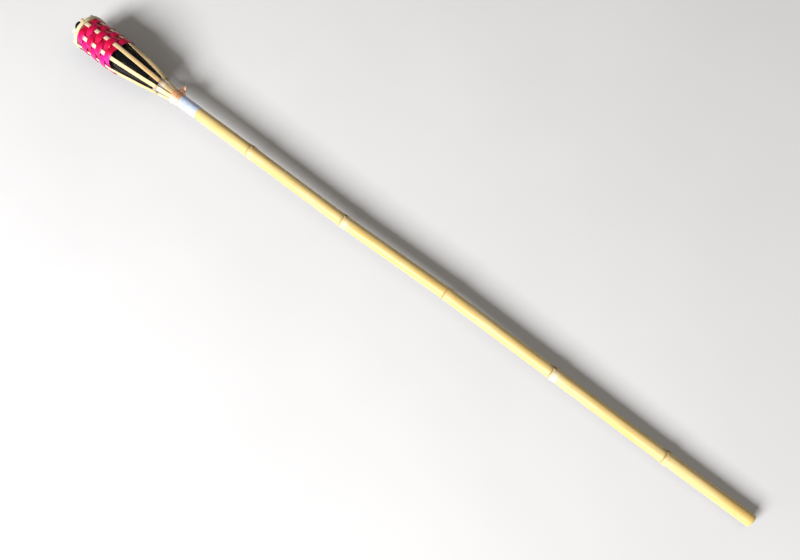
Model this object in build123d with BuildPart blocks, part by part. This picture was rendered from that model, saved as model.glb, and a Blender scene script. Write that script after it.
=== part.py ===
from build123d import *
import os
from math import asin, atan2, cos, degrees, radians, sin, sqrt, tan

# Tiki torch: a bamboo culm whose upper end is split into slats and woven into a basket for a fuel can.
# Millimetres. +Z runs up the culm, and the origin is the centre of its cut lower end.

# ---- driving dimensions ----
TORCH_LENGTH = 1500.0        # lower end of the culm to the slat tips

# culm
CULM_BUTT_R = 11.2           # thin end, which goes into the ground
CULM_TOP_R = 12.2
CULM_WALL = 3.4
STAKE_LENGTH = 148.0         # straight round stretch below the first joint
STRAIGHT_TOP_Z = 1185.0      # above this the culm is round and straight again
SPLIT_Z = 1247.0             # root of the split
JOINT_Z = [164.0, 388.0, 613.0, 842.0, 1068.0]
JOINT_SHIFT_X = [0.0, 2.0, 3.6, -1.0, 0.0]           # natural bow and zigzag of the culm
JOINT_PROFILE = [(-15.0, 0.0), (-6.0, 0.6), (-2.6, 1.1), (-0.9, 0.9), (0.0, 0.1), (1.3, 0.35), (6.0, 0.0)]
SEPTUM_HALF = 2.5            # half the thickness of the wall that closes the culm at each joint

# slats
SLAT_COUNT = 8
SLAT_PITCH = 360.0 / SLAT_COUNT
SLAT_FIRST_AZIMUTH = SLAT_PITCH / 2
SLAT_THICKNESS = 2.6
SAW_KERF_ANGLE = 0.8         # half of the cut between two slats, in degrees
CONE_START_Z = 1254.0
SHOULDER_R = 36.1            # where the cone and the basket wall would meet without the bend
SHOULDER_Z = 1400.0
TIP_R = 34.3
ROOT_BEND_R = 70.0
SHOULDER_BEND_R = 200.0

# weave
WEFT_COUNT = 7
WEFT_PITCH = 12.5
WEFT_START_Z = 1396.5
WEFT_THICKNESS = 0.9
WEFT_SPACING = 0.4           # between one strip and the next
WEFT_CLEARANCE = 0.3         # between a strip and a slat
WEFT_BUTT_GAP = 1.2          # between the two ends of a strip, behind a slat
WEFT_SPLINE_STEPS = 48

# rim
RIM_LOW_Z = 1484.8
RIM_HIGH_Z = 1493.0
RIM_THICKNESS = 1.4
RIM_CLEARANCE = 0.2
BRAD_R = 0.6
BRAD_HEAD_R = 1.4
BRAD_HEAD_HEIGHT = 0.5

# binding strip and label
TIE_LOW_Z = 1242.0
TIE_HIGH_Z = 1259.0
TIE_FLARE_Z = 1251.0         # above this the tie widens with the root of the slats
TIE_FLARE = 0.9
TIE_INNER_R = 12.7
TIE_THICKNESS = 1.3
KNOT_AZIMUTH = 5.0
KNOT_SIZE = (5.0, 9.0, 14.0)     # radial, around, upwards
KNOT_RISE = 1.0                  # middle of the knot from the middle of the band
KNOT_SINK = 0.8                  # how far the knot sits into the band
KNOT_CORNER_R = 2.0
TAIL_SIZE = (11.0, 1.2, 6.0)
TAIL_LEAN = 16.0
TAIL_OUTSET = 8.0                # middle of a tail from the band's outer face
TAIL_RISE = 1.8                  # middle of a tail from the middle of the knot
TAIL_SIDESTEP = 1.6              # one tail passes beside the other
LABEL_LOW_Z = 1195.0
LABEL_HIGH_Z = 1238.0
LABEL_THICKNESS = 0.35
LABEL_GAP = 0.05

# fuel can
CAN_R = 29.0
CAN_WALL = 0.6
SEAM_R = 29.5
CAN_BASE_Z = 1377.5          # lower seam
TAPER_TOP_Z = 1375.0         # below this the can narrows with the cone of slats that carries it
TAPER_LOW_Z = 1316.0
TAPER_LOW_R = 19.25
TAPER_WALL = 0.8
CAN_TOP_Z = 1497.0
SEAM_HEIGHT = 2.4
SEAM_CORNER = 0.5
SEAM_LIP = 1.0               # inner slope of the seam
PLATE_THICKNESS = 0.8        # the can's top plate
PLATE_MARGIN = 2.2           # from the outside of the can to where a plate turns up into its rim
FOOT_HEIGHT = 1.5            # of the rim that the can's bottom stands on
PLATE_RISE = 1.6             # from the edge of the top plate to its neck
RECESS_DEPTH = 3.4           # how deep each end of the can reaches into its shell
NECK_R = 10.4
NECK_BORE_R = 8.8
NECK_TOP_Z = 1503.0

# burner
GASKET_HEIGHT = 1.0
CAP_R = 13.0
CAP_SKIRT_INNER_R = 10.8
CAP_TOP_Z = 1506.4
CAP_LOW_Z = 1496.4
CAP_CHAMFER = 0.8
CAP_FLUTES = 24
FLUTE_R = 0.9
FLUTE_OUTSET = 0.5           # centre of a flute outside the cap's face
FLUTE_MARGIN = 2.0           # plain rim of the cap above the flutes
TUBE_R = 6.0
TUBE_WALL = 0.8
TUBE_TOP_Z = 1511.5
TUBE_LOW_Z = 1490.0
TUBE_FLANGE_R = 8.0
TUBE_FLANGE_HEIGHT = 0.8
WICK_R = 4.8
WICK_TOP_Z = 1513.5
WICK_LOW_Z = 1335.0
WICK_END_R = 1.0
SNUFFER_R = 9.6
SNUFFER_WALL = 0.8
SNUFFER_TOP_Z = 1522.0
SNUFFER_CHAMFER = 1.2
SNUFFER_FOOT = 0.8           # rolled edge at the open end
SNUFFER_FOOT_HEIGHT = 1.0
SNUFFER_FOOT_SLOPE = 0.6
FIT_GAP = 0.1                # between pieces that sit on each other and stay there
LIFT_GAP = 0.25              # between pieces that sit on each other and come apart


# ---- shared geometry ----
def culm_radius(z):
    return CULM_BUTT_R + (CULM_TOP_R - CULM_BUTT_R) * min(z / STRAIGHT_TOP_Z, 1.0)


def culm_shift(z):
    """Sideways place of the culm's centre line, which is straight from each joint to the next."""
    heights = [0.0] + JOINT_Z + [STRAIGHT_TOP_Z, SPLIT_Z]
    shifts = [0.0] + JOINT_SHIFT_X + [0.0, 0.0]
    for low_z, high_z, low_x, high_x in zip(heights, heights[1:], shifts, shifts[1:]):
        if z <= high_z:
            return low_x + (high_x - low_x) * (z - low_z) / (high_z - low_z)
    return 0.0


CONE_ANGLE = atan2(SHOULDER_R - CULM_TOP_R, SHOULDER_Z - CONE_START_Z)
WALL_ANGLE = atan2(TIP_R - SHOULDER_R, TORCH_LENGTH - SHOULDER_Z)
SHOULDER_TANGENT = SHOULDER_BEND_R * tan((CONE_ANGLE - WALL_ANGLE) / 2)
BEND_LOW_Z = SHOULDER_Z - SHOULDER_TANGENT * cos(CONE_ANGLE)
BEND_HIGH_Z = SHOULDER_Z + SHOULDER_TANGENT * cos(WALL_ANGLE)
BEND_CENTRE_R = SHOULDER_R - SHOULDER_TANGENT * sin(CONE_ANGLE) - SHOULDER_BEND_R * cos(CONE_ANGLE)
BEND_CENTRE_Z = BEND_LOW_Z + SHOULDER_BEND_R * sin(CONE_ANGLE)


def slat_face_radius(z):
    """Radius of the slats' outer faces above the root of the cone."""
    if z < BEND_LOW_Z:
        return SHOULDER_R - (SHOULDER_Z - z) * tan(CONE_ANGLE)
    if z < BEND_HIGH_Z:
        return BEND_CENTRE_R + sqrt(SHOULDER_BEND_R**2 - (z - BEND_CENTRE_Z) ** 2)
    return SHOULDER_R + (z - SHOULDER_Z) * tan(WALL_ANGLE)


def slat_azimuth(index):
    return SLAT_FIRST_AZIMUTH + SLAT_PITCH * index


def finish(builder, label):
    builder.part.label = label
    export_step(builder.part, f"parts/{label}.step")


def make_ring(inner_r, outer_r, low_z, high_z):
    with BuildPart() as ring:
        with BuildSketch(Plane.XY.offset(low_z)):
            Circle(outer_r)
            Circle(inner_r, mode=Mode.SUBTRACT)
        extrude(amount=high_z - low_z)
    return ring


os.makedirs("parts", exist_ok=True)


# ---- culm ----
def make_culm():
    stations = [(STAKE_LENGTH, 0.0)]
    for joint_z in JOINT_Z:
        stations += [(joint_z + rise, swell) for rise, swell in JOINT_PROFILE]
    stations += [(STRAIGHT_TOP_Z, 0.0)]

    hollow_ends = [-SEPTUM_HALF] + JOINT_Z + [SPLIT_Z + SEPTUM_HALF]

    with BuildPart() as culm:
        with BuildSketch(Plane.XY):
            Circle(CULM_BUTT_R)
        extrude(amount=STAKE_LENGTH)
        for z, swell in stations:
            radius = CULM_BUTT_R if z == STAKE_LENGTH else culm_radius(z) + swell
            with BuildSketch(Plane((culm_shift(z), 0, z))):
                Circle(radius)
        loft(ruled=True)
        with BuildSketch(Plane.XY.offset(STRAIGHT_TOP_Z)):
            Circle(CULM_TOP_R)
        extrude(amount=SPLIT_Z - STRAIGHT_TOP_Z)
        for low_joint, high_joint in zip(hollow_ends, hollow_ends[1:]):
            for z in (low_joint + SEPTUM_HALF, high_joint - SEPTUM_HALF):
                with BuildSketch(Plane((culm_shift(z), 0, z))):
                    Circle(culm_radius(z) - CULM_WALL)
            loft(ruled=True, mode=Mode.SUBTRACT)
    return culm


finish(make_culm(), "pole")


# ---- slats, each a strip of the culm's wall ----
def make_slat(azimuth):
    half_width = SLAT_PITCH / 2 - SAW_KERF_ANGLE
    radial = Vector(cos(radians(azimuth)), sin(radians(azimuth)), 0)
    side_plane = Plane((0, 0, 0), x_dir=radial, z_dir=(sin(radians(azimuth)), -cos(radians(azimuth)), 0))
    root_plane = Plane(radial * CULM_TOP_R + Vector(0, 0, SPLIT_Z), x_dir=radial, z_dir=(0, 0, 1))
    edge_x = CULM_TOP_R * cos(radians(half_width)) - CULM_TOP_R
    edge_y = CULM_TOP_R * sin(radians(half_width))
    inner_y = (CULM_TOP_R - SLAT_THICKNESS) * tan(radians(half_width))

    with BuildPart() as slat:
        with BuildLine(side_plane) as spine:
            FilletPolyline(
                (CULM_TOP_R, SPLIT_Z),
                (CULM_TOP_R, CONE_START_Z),
                (SHOULDER_R, SHOULDER_Z),
                (TIP_R, TORCH_LENGTH),
                radius=(ROOT_BEND_R, SHOULDER_BEND_R),
            )
        with BuildSketch(root_plane):
            with BuildLine():
                ThreePointArc((edge_x, -edge_y), (0, 0), (edge_x, edge_y))
                Line((edge_x, edge_y), (-SLAT_THICKNESS, inner_y))
                Line((-SLAT_THICKNESS, inner_y), (-SLAT_THICKNESS, -inner_y))
                Line((-SLAT_THICKNESS, -inner_y), (edge_x, -edge_y))
            make_face()
        sweep(path=spine.line)
    return slat


for index in range(SLAT_COUNT):
    finish(make_slat(slat_azimuth(index)), f"slat_{index + 1}")


# ---- woven strips: odd and even rows pass the slats on opposite sides ----
def make_weft(row):
    low_z = WEFT_START_Z + WEFT_PITCH * row + WEFT_SPACING / 2
    high_z = low_z + WEFT_PITCH - WEFT_SPACING
    swing = (SLAT_THICKNESS + WEFT_THICKNESS) / 2 + WEFT_CLEARANCE
    side = 1 if row % 2 else -1
    joint_azimuth = slat_azimuth((3 * row) % SLAT_COUNT)

    def weft_point(turned, z, offset):
        middle = slat_face_radius(z) - SLAT_THICKNESS / 2
        azimuth = radians(joint_azimuth + turned)
        phase = radians(joint_azimuth + turned - SLAT_FIRST_AZIMUTH) * SLAT_COUNT / 2
        radius = middle + side * swing * cos(phase) + offset
        return (radius * cos(azimuth), radius * sin(azimuth))

    with BuildPart() as weft:
        for z in (low_z, high_z):
            end_angle = degrees(asin(WEFT_BUTT_GAP / 2 / slat_face_radius(z)))
            step = (360.0 - 2 * end_angle) / WEFT_SPLINE_STEPS
            turns = [end_angle + step * i for i in range(WEFT_SPLINE_STEPS + 1)]
            outer = [weft_point(turned, z, WEFT_THICKNESS / 2) for turned in turns]
            inner = [weft_point(turned, z, -WEFT_THICKNESS / 2) for turned in turns]
            with BuildSketch(Plane.XY.offset(z)):
                with BuildLine():
                    Spline(*outer)
                    Line(outer[-1], inner[-1])
                    Spline(*inner)
                    Line(inner[0], outer[0])
                make_face()
        loft(ruled=True)
    return weft


for row in range(WEFT_COUNT):
    finish(make_weft(row), f"weft_{row + 1}")


# ---- rim bands and brads ----
rim_face_r = slat_face_radius(RIM_LOW_Z)
outer_band_r = rim_face_r + RIM_CLEARANCE
inner_band_r = slat_face_radius(RIM_HIGH_Z) - SLAT_THICKNESS - RIM_CLEARANCE
finish(make_ring(outer_band_r, outer_band_r + RIM_THICKNESS, RIM_LOW_Z, RIM_HIGH_Z), "rim_band_outer")
finish(make_ring(inner_band_r - RIM_THICKNESS, inner_band_r, RIM_LOW_Z, RIM_HIGH_Z), "rim_band_inner")

with BuildPart() as rim_brads:
    for index in range(SLAT_COUNT):
        azimuth = radians(slat_azimuth(index))
        radial = Vector(cos(azimuth), sin(azimuth), 0)
        height = Vector(0, 0, (RIM_LOW_Z + RIM_HIGH_Z) / 2)
        shank_start = inner_band_r - RIM_THICKNESS / 2
        head_start = outer_band_r + RIM_THICKNESS
        with BuildSketch(Plane(radial * shank_start + height, z_dir=radial)):
            Circle(BRAD_R)
        extrude(amount=head_start - shank_start)
        with BuildSketch(Plane(radial * head_start + height, z_dir=radial)):
            Circle(BRAD_HEAD_R)
        extrude(amount=BRAD_HEAD_HEIGHT)
finish(rim_brads, "rim_brads")


# ---- binding strip: a wound band, its knot and the two cut ends ----
tie_outer_r = TIE_INNER_R + TIE_THICKNESS
knot_z = (TIE_LOW_Z + TIE_HIGH_Z) / 2 + KNOT_RISE

with BuildPart() as split_tie:
    with BuildSketch(Plane.XZ):
        with BuildLine():
            Polyline(
                (TIE_INNER_R, TIE_LOW_Z),
                (tie_outer_r, TIE_LOW_Z),
                (tie_outer_r, TIE_FLARE_Z),
                (tie_outer_r + TIE_FLARE, TIE_HIGH_Z),
                (TIE_INNER_R + TIE_FLARE, TIE_HIGH_Z),
                (TIE_INNER_R, TIE_FLARE_Z),
                close=True,
            )
        make_face()
    revolve(axis=Axis.Z)
    knot_direction = Vector(cos(radians(KNOT_AZIMUTH)), sin(radians(KNOT_AZIMUTH)), 0)
    knot_centre = knot_direction * (tie_outer_r + KNOT_SIZE[0] / 2 - KNOT_SINK) + Vector(0, 0, knot_z)
    with Locations(Location(tuple(knot_centre), (0, 0, KNOT_AZIMUTH))):
        Box(*KNOT_SIZE)
    fillet(split_tie.edges(Select.LAST).filter_by(Axis.Z).sort_by(SortBy.DISTANCE)[-2:], KNOT_CORNER_R)
    for side in (1, -1):
        tail_z = knot_z + side * TAIL_RISE
        tail_middle = knot_direction * (tie_outer_r + TAIL_OUTSET) + Vector(0, side * TAIL_SIDESTEP, tail_z)
        with Locations(Location(tuple(tail_middle), (0, -side * TAIL_LEAN, KNOT_AZIMUTH), Extrinsic.XYZ)):
            Box(*TAIL_SIZE)
finish(split_tie, "split_tie")

label_inner_r = CULM_TOP_R + LABEL_GAP
finish(make_ring(label_inner_r, label_inner_r + LABEL_THICKNESS, LABEL_LOW_Z, LABEL_HIGH_Z), "label_band")


# ---- fuel can ----
shell_low_z = CAN_BASE_Z + SEAM_HEIGHT
shell_high_z = CAN_TOP_Z - SEAM_HEIGHT
finish(make_ring(CAN_R - CAN_WALL, CAN_R, shell_low_z, shell_high_z), "can_shell")

plug_r = CAN_R - CAN_WALL - FIT_GAP      # ends of the can that sit inside its shell


def revolve_profile(points):
    """A piece turned about the Z axis from the outline of its right half, given as (radius, height)."""
    with BuildPart() as turned:
        with BuildSketch(Plane.XZ):
            with BuildLine():
                Polyline(*points, close=True)
            make_face()
        revolve(axis=Axis.Z)
    return turned


foot_z = TAPER_LOW_Z + FOOT_HEIGHT       # underside of the recessed bottom
can_base = revolve_profile([
    (0, foot_z),
    (TAPER_LOW_R - PLATE_MARGIN - SEAM_LIP, foot_z),
    (TAPER_LOW_R - PLATE_MARGIN, TAPER_LOW_Z),
    (TAPER_LOW_R - SEAM_CORNER, TAPER_LOW_Z),
    (TAPER_LOW_R, TAPER_LOW_Z + SEAM_CORNER),
    (CAN_R, TAPER_TOP_Z),
    (CAN_R, CAN_BASE_Z),
    (SEAM_R, CAN_BASE_Z + SEAM_CORNER),
    (SEAM_R, shell_low_z - FIT_GAP),
    (plug_r, shell_low_z - FIT_GAP),
    (plug_r, CAN_BASE_Z + RECESS_DEPTH),
    (plug_r - TAPER_WALL, CAN_BASE_Z + RECESS_DEPTH),
    (CAN_R - TAPER_WALL - CAN_WALL, TAPER_TOP_Z),
    (TAPER_LOW_R - TAPER_WALL, foot_z + TAPER_WALL),
    (0, foot_z + TAPER_WALL),
])
finish(can_base, "can_base")

plate_edge_z = CAN_TOP_Z - RECESS_DEPTH
plate_neck_z = plate_edge_z + PLATE_RISE
can_top = revolve_profile([
    (NECK_BORE_R, plate_neck_z - PLATE_THICKNESS),
    (NECK_BORE_R, NECK_TOP_Z),
    (NECK_R, NECK_TOP_Z),
    (NECK_R, plate_neck_z),
    (plug_r - PLATE_MARGIN, plate_edge_z + PLATE_THICKNESS),
    (plug_r - SEAM_LIP, CAN_TOP_Z - SEAM_CORNER),
    (plug_r - SEAM_CORNER, CAN_TOP_Z),
    (SEAM_R - SEAM_CORNER, CAN_TOP_Z),
    (SEAM_R, CAN_TOP_Z - SEAM_CORNER),
    (SEAM_R, shell_high_z + FIT_GAP),
    (plug_r, shell_high_z + FIT_GAP),
    (plug_r, plate_edge_z),
])
finish(can_top, "can_top")


# ---- burner: washer, screw cap, wick tube, wick and snuffer ----
gasket_low_z = NECK_TOP_Z + LIFT_GAP
gasket_high_z = gasket_low_z + GASKET_HEIGHT
finish(make_ring(NECK_BORE_R, NECK_R, gasket_low_z, gasket_high_z), "cap_gasket")

cap_disc_z = gasket_high_z + LIFT_GAP
with BuildPart() as burner_cap:
    with BuildSketch(Plane.XY.offset(CAP_LOW_Z)):
        Circle(CAP_R)
        Circle(CAP_SKIRT_INNER_R, mode=Mode.SUBTRACT)
    extrude(amount=cap_disc_z - CAP_LOW_Z)
    with BuildSketch(Plane.XY.offset(cap_disc_z)):
        Circle(CAP_R)
        Circle(TUBE_R + FIT_GAP, mode=Mode.SUBTRACT)
    extrude(amount=CAP_TOP_Z - cap_disc_z)
    top_edges = burner_cap.edges().filter_by(GeomType.CIRCLE).group_by(Axis.Z)[-1]
    chamfer(top_edges.sort_by(SortBy.RADIUS)[-1], CAP_CHAMFER)
    with BuildSketch(Plane.XY.offset(CAP_LOW_Z)):
        with PolarLocations(CAP_R + FLUTE_OUTSET, CAP_FLUTES):
            Circle(FLUTE_R)
    extrude(amount=CAP_TOP_Z - CAP_LOW_Z - FLUTE_MARGIN, mode=Mode.SUBTRACT)
finish(burner_cap, "burner_cap")

flange_low_z = CAP_TOP_Z + FIT_GAP
tube_bore_r = TUBE_R - TUBE_WALL
wick_tube = revolve_profile([
    (tube_bore_r, TUBE_LOW_Z),
    (TUBE_R, TUBE_LOW_Z),
    (TUBE_R, flange_low_z),
    (TUBE_FLANGE_R, flange_low_z),
    (TUBE_FLANGE_R, flange_low_z + TUBE_FLANGE_HEIGHT),
    (TUBE_R, flange_low_z + TUBE_FLANGE_HEIGHT),
    (TUBE_R, TUBE_TOP_Z),
    (tube_bore_r, TUBE_TOP_Z),
])
finish(wick_tube, "wick_tube")

with BuildPart() as wick:
    with BuildSketch(Plane.XY.offset(WICK_LOW_Z)):
        Circle(WICK_R)
    extrude(amount=WICK_TOP_Z - WICK_LOW_Z)
    fillet(wick.edges().filter_by(GeomType.CIRCLE).sort_by(Axis.Z)[-1], WICK_END_R)
finish(wick, "wick")

snuffer_low_z = CAP_TOP_Z + LIFT_GAP
snuffer_inner_r = SNUFFER_R - SNUFFER_WALL
snuffer_cap = revolve_profile([
    (0, SNUFFER_TOP_Z - SNUFFER_WALL),
    (snuffer_inner_r, SNUFFER_TOP_Z - SNUFFER_WALL),
    (snuffer_inner_r, snuffer_low_z),
    (SNUFFER_R + SNUFFER_FOOT, snuffer_low_z),
    (SNUFFER_R + SNUFFER_FOOT, snuffer_low_z + SNUFFER_FOOT_HEIGHT),
    (SNUFFER_R, snuffer_low_z + SNUFFER_FOOT_HEIGHT + SNUFFER_FOOT_SLOPE),
    (SNUFFER_R, SNUFFER_TOP_Z - SNUFFER_CHAMFER),
    (SNUFFER_R - SNUFFER_CHAMFER, SNUFFER_TOP_Z),
    (0, SNUFFER_TOP_Z),
])
finish(snuffer_cap, "snuffer_cap")
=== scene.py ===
import random
from math import atan, atan2, cos, exp, pi, radians, sin, tan

import bmesh
import bpy
from mathutils import Matrix, Vector, noise


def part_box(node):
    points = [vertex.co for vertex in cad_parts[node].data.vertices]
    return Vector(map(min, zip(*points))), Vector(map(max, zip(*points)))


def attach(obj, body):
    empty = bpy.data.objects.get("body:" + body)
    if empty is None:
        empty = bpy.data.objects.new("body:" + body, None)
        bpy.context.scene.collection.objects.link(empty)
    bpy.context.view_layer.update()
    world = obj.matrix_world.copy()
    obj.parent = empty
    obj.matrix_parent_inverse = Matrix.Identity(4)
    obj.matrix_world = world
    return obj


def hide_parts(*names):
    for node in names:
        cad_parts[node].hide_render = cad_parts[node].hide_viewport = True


# Looks of the tiki torch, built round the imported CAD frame. Its pieces are drawn in millimetres, and
# Piece.finish scales them to metres. Camera, lights, floor and the depths of bumps are in metres throughout.
# +Z runs up the culm, and -Y faces up when the torch lies down.
MM = 0.001

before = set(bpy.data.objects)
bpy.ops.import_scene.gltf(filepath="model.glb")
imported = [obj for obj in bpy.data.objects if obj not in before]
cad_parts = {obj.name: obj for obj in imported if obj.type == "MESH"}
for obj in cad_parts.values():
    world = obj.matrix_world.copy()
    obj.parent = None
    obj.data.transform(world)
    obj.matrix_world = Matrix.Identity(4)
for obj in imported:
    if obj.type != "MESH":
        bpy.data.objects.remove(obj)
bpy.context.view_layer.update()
random.seed(7)

# ---- dimensions shared with the CAD model ----
CULM_BUTT_R = 11.2
CULM_TOP_R = 12.2
CULM_WALL = 3.4
STRAIGHT_TOP_Z = 1185.0
JOINT_Z = [164.0, 388.0, 613.0, 842.0, 1068.0]
JOINT_SHIFT_X = [0.0, 2.0, 3.6, -1.0, 0.0]
SEPTUM_HALF = 2.5
SLAT_COUNT = 8
SLAT_PITCH = 360.0 / SLAT_COUNT
SLAT_THICKNESS = 2.6
SAW_KERF_ANGLE = 0.8
CONE_START_Z = 1254.0
SHOULDER_R = 36.1
SHOULDER_Z = 1400.0
TIP_R = 34.3
TIP_Z = 1500.0
ROOT_BEND_R = 70.0
SHOULDER_BEND_R = 200.0
WEFT_COUNT = 7
WEFT_THICKNESS = 0.9
WEFT_SWING = (SLAT_THICKNESS + WEFT_THICKNESS) / 2 + 0.3
KNOT_AZIMUTH = 5.0


def node_box(node):
    """Lowest and highest corner of a CAD node, in millimetres."""
    low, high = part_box(node)
    return low / MM, high / MM


SPLIT_Z = node_box("pole")[1].z
RIM_LOW_Z = node_box("rim_band_outer")[0].z

# ---- small helpers ----
UP = Vector((0, 0, 1))
WELD_DISTANCE = 0.0005       # vertices closer than this become one
SHARP_ANGLE = radians(50)    # edges with a larger turn than this are shaded sharp


def polar(radius, azimuth, z=0.0):
    """Point at an azimuth in degrees."""
    return Vector((radius * cos(radians(azimuth)), radius * sin(radians(azimuth)), z))


def hill(x, width):
    return exp(-((x / width) ** 2))


def hills(x, table):
    """Sum of hills, each given as (height, place, width)."""
    return sum(height * hill(x - place, width) for height, place, width in table)


def highest_hill(x, table):
    return max(height * hill(x - place, width) for height, place, width in table)


def arch(x):
    """Rises softly from 0 to 1 and back to 0 while x runs from 0 to 1."""
    return sin(pi * min(max(x, 0.0), 1.0)) ** 2


def smooth_step(x):
    x = min(max(x, 0.0), 1.0)
    return x * x * (3 - 2 * x)


def turn_between(azimuth, centre):
    """Signed turn in degrees from one azimuth to another, the short way."""
    return (azimuth - centre + 180.0) % 360.0 - 180.0


def rough(x, y, z):
    """Smooth noise from -1 to 1."""
    return noise.noise(Vector((x, y, z)))


def rough_round(azimuth, scale, z):
    """The same noise on a turned surface, without a seam."""
    return rough(scale * cos(radians(azimuth)), scale * sin(radians(azimuth)), z)


def rounded(outline, radius, steps=3):
    """A closed outline of (radius, height) points with its corners rounded, except those on the axis."""
    result = []
    for index, point in enumerate(outline):
        if point[0] == 0:
            result.append(Vector(point))
            continue
        corner = Vector(point)
        before = Vector(outline[index - 1]) - corner
        after = Vector(outline[(index + 1) % len(outline)]) - corner
        start = corner + before.normalized() * min(radius, 0.45 * before.length)
        end = corner + after.normalized() * min(radius, 0.45 * after.length)
        for step in range(steps + 1):
            t = step / steps
            result.append(start * (1 - t) ** 2 + corner * 2 * t * (1 - t) + end * t * t)
    return result


def beside(r, z, *steps):
    """Points of an outline, given as steps (across, up) away from one corner of it."""
    return [(r + across, z + up) for across, up in steps]


def value_at(z, points):
    """Value at a height on a line through points (value, height, ...), which run upwards."""
    for low, high in zip(points, points[1:]):
        if z <= high[1]:
            return low[0] + (high[0] - low[0]) * (z - low[1]) / (high[1] - low[1])
    return points[-1][0]


def placed(name, data, matrix=Matrix.Identity(4)):
    """A new object in the scene."""
    item = bpy.data.objects.new(name, data)
    item.matrix_world = matrix
    bpy.context.scene.collection.objects.link(item)
    return item


class Piece:
    """A mesh in the making. Each vertex has a point, fibre coordinates (across, through, along) that its
    material's grain follows, and marks (dark scar, pale patch or painted light, bud, stain or painted shade)
    that its material paints."""

    def __init__(self, name):
        self.name = name
        self.mesh = bmesh.new()
        self.fibre = self.mesh.verts.layers.float_vector.new("fibre")
        self.marks = self.mesh.verts.layers.float_vector.new("marks")

    def vertex(self, point, fibre=None, marks=(0, 0, 0)):
        vertex = self.mesh.verts.new(point)
        vertex[self.fibre] = Vector(fibre if fibre is not None else point)
        vertex[self.marks] = Vector(marks)
        return vertex

    def surface(self, rows, around=True, material=0):
        """Faces over rows of vertices. around joins each row's ends. material is an index, or gives one for
        each place in a row."""
        count = len(rows[0])
        for low, high in zip(rows, rows[1:]):
            for i in range(count if around else count - 1):
                j = (i + 1) % count
                face = self.mesh.faces.new((low[i], low[j], high[j], high[i]))
                face.material_index = material(i) if callable(material) else material

    def sweep(self, rows, material=0, ends=0):
        """A closed solid: faces over the rows, and one face over each end."""
        self.surface(rows, material=material)
        for row in (rows[0], rows[-1]):
            self.mesh.faces.new(row).material_index = ends

    def finish(self, body, replaces, materials, weighted=False):
        bmesh.ops.remove_doubles(self.mesh, verts=self.mesh.verts, dist=WELD_DISTANCE)
        bmesh.ops.recalc_face_normals(self.mesh, faces=self.mesh.faces)
        bmesh.ops.scale(self.mesh, vec=(MM, MM, MM), verts=self.mesh.verts)
        data = bpy.data.meshes.new(self.name)
        self.mesh.to_mesh(data)
        self.mesh.free()
        for polygon in data.polygons:
            polygon.use_smooth = True
        data.set_sharp_from_angle(angle=SHARP_ANGLE)
        for material in materials:
            data.materials.append(material)
        piece = placed(self.name, data)
        if weighted:
            piece.modifiers.new("even_shading", "WEIGHTED_NORMAL").keep_sharp = True
        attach(piece, body)
        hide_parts(*replaces)
        piece.visible_diffuse = body != "torch"     # the fixed pieces throw no coloured light on the floor


def turned(name, outline, segments, body, node, material, radius_at=lambda radius, azimuth, z: radius):
    """A piece turned about the torch's axis from a closed outline, in place of a CAD node.
    radius_at may reshape it."""
    piece = Piece(name)
    azimuths = [360.0 * i / segments for i in range(segments)]
    rows = [[piece.vertex(polar(radius_at(r, a, z), a, z)) for a in azimuths] for r, z in outline]
    on_axis = outline[0][0] == 0 and outline[-1][0] == 0
    piece.surface(rows if on_axis else rows + rows[:1])
    piece.finish(body, [node], [material], weighted=True)


def filleted_path(points, radii, step):
    """Stations (radius, z, lean, length) along straight runs joined by arcs. lean is measured from +Z."""
    leans = [atan2(b[0] - a[0], b[1] - a[1]) for a, b in zip(points, points[1:])]
    stations = [(*points[0], leans[0], 0.0)]
    length = 0.0

    def run_to(target, lean, length):
        start, target = Vector(stations[-1][0:2]), Vector(target)
        reach = (target - start).length
        count = max(1, round(reach / step))
        for i in range(1, count + 1):
            spot = start.lerp(target, i / count)
            stations.append((spot.x, spot.y, lean, length + reach * i / count))
        return length + reach

    for corner, radius, before, after in zip(points[1:-1], radii, leans, leans[1:]):
        turn = after - before
        reach = radius * tan(abs(turn) / 2)
        arc_start = Vector(corner) - Vector((sin(before), cos(before))) * reach
        length = run_to(arc_start, before, length)
        side = 1 if turn > 0 else -1
        centre = arc_start + Vector((cos(before), -sin(before))) * radius * side
        count = max(2, round(radius * abs(turn) / step))
        for i in range(1, count + 1):
            lean = before + turn * i / count
            spot = centre - Vector((cos(lean), -sin(lean))) * radius * side
            stations.append((spot.x, spot.y, lean, length + radius * abs(turn) * i / count))
        length += radius * abs(turn)
    run_to(points[-1], leans[-1], length)
    return stations


# ---- camera, lights and floor, in metres ----
CAMERA_PLACE = Vector((0.0495, -1.3331, 0.4263))
CAMERA_FORWARD = Vector((-0.0552, 0.9791, 0.1959))
CAMERA_UP = Vector((0.8080, -0.0715, 0.5848))
LENS = 34.56
SENSOR = 36.0
LAMPS = [
    # name, direction from the torch, distance, size, power, colour
    ("key", (-0.64, -0.77, 0.10), 6.0, 2.6, 540, (0.985, 0.985, 1.0)),
    ("fill", (0.75, -0.9, -0.3), 5.0, 3.0, 22, (1.0, 0.93, 0.84)),
    ("back", (-0.25, 1.0, 0.25), 5.0, 3.0, 130, (1.0, 0.98, 0.95)),
]
ROOM_LIGHT = 0.17
ROOM_COLOUR = (1.0, 0.96, 0.90, 1)
BACKDROP_COLOUR = (0.88, 0.89, 0.90, 1)
CONTRAST = 0.85              # the display's gamma
FLOOR_AZIMUTH = 288.0        # direction in which the floor's face looks
FLOOR_SIZE = 12.0
FLOOR_SLOPE = 0.0181         # the torch rests on its lower end and on the widest strip of the basket
FLOOR_GAP = 0.0001


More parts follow.
